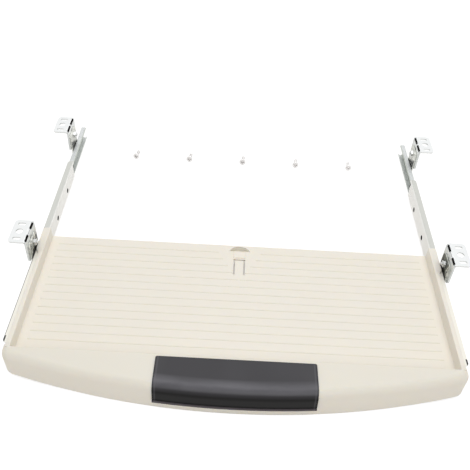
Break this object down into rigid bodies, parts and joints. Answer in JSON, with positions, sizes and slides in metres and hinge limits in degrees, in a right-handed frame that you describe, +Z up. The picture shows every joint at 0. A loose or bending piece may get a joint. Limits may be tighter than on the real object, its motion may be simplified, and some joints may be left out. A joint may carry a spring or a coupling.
{
  "type": "under-desk keyboard tray",
  "caption": "Pull-out keyboard tray with grooved floor, bowed palm rest and dark pull handle, on ball-bearing slides hung from L brackets under a desk.",
  "frame": {"origin": "underside of the desk, midway between the centre holes of the four brackets", "axes": "+X to the right as seen by the user, +Y towards the rear of the desk, +Z up; the tray pulls out along -Y"},
  "size_m": [0.563, 0.4864, 0.0615],
  "materials": {
    "tray_plastic": "fine satin moulded plastic, warm beige",
    "handle_plastic": "dark charcoal plastic with a soft gloss",
    "painted_arm": "pale warm grey powder coat",
    "zinc_rail": "zinc plated, drawn lengthwise, slightly oiled",
    "zinc_bracket": "bright zinc plated pressed steel",
    "zinc_fasteners": "bright zinc plated",
    "bright_screws": "bright nickel plated",
    "ball_steel": "polished bearing steel",
    "black_rubber": "matt black rubber"
  },
  "bodies": {
    "desk_brackets": {"mounting_screws": "bright_screws", "bracket_front_left": "zinc_bracket", "bracket_front_right": "zinc_bracket", "bracket_rear_left": "zinc_bracket", "bracket_rear_right": "zinc_bracket"},
    "rails": {"outer_rail_left": "zinc_rail", "outer_rail_right": "zinc_rail", "rail_bumper_left": "black_rubber", "rail_bumper_right": "black_rubber", "clamp_bolts_left": "zinc_fasteners", "clamp_bolts_right": "zinc_fasteners", "clamp_nuts_left": "zinc_fasteners", "clamp_nuts_right": "zinc_fasteners", "hanger_front_left": "zinc_bracket", "hanger_front_right": "zinc_bracket", "hanger_rear_left": "zinc_bracket", "hanger_rear_right": "zinc_bracket"},
    "tray": {"tray_shell": "tray_plastic", "pull_handle": "handle_plastic", "handle_screws": "zinc_fasteners", "side_arm_left": "painted_arm", "side_arm_right": "painted_arm", "tray_screws_left": "zinc_fasteners", "tray_screws_right": "zinc_fasteners", "rail_rivets_left": "zinc_fasteners", "rail_rivets_right": "zinc_fasteners", "inner_rail_left": "zinc_rail", "inner_rail_right": "zinc_rail"},
    "ball_cage_left": {"ball_cage_left": "zinc_rail", "steel_balls_left": "ball_steel"},
    "ball_cage_right": {"ball_cage_right": "zinc_rail", "steel_balls_right": "ball_steel"}
  },
  "joints": [
    {"name": "height_adjust", "type": "slide", "parent": "desk_brackets", "child": "rails", "axis": [0, 0, 1], "range_m": [-0.008, 0.008]},
    {"name": "tray_slide", "type": "slide", "parent": "rails", "child": "tray", "axis": [0, -1, 0], "range_m": [0, 0.24]},
    {"name": "cage_slide_left", "type": "slide", "parent": "rails", "child": "ball_cage_left", "axis": [0, -1, 0], "range_m": [0, 0.12]},
    {"name": "cage_slide_right", "type": "slide", "parent": "rails", "child": "ball_cage_right", "axis": [0, -1, 0], "range_m": [0, 0.12]}
  ],
  "couplings": [
    {"joint": "cage_slide_left", "follows": "tray_slide", "ratio": 0.5},
    {"joint": "cage_slide_right", "follows": "tray_slide", "ratio": 0.5}
  ]
}
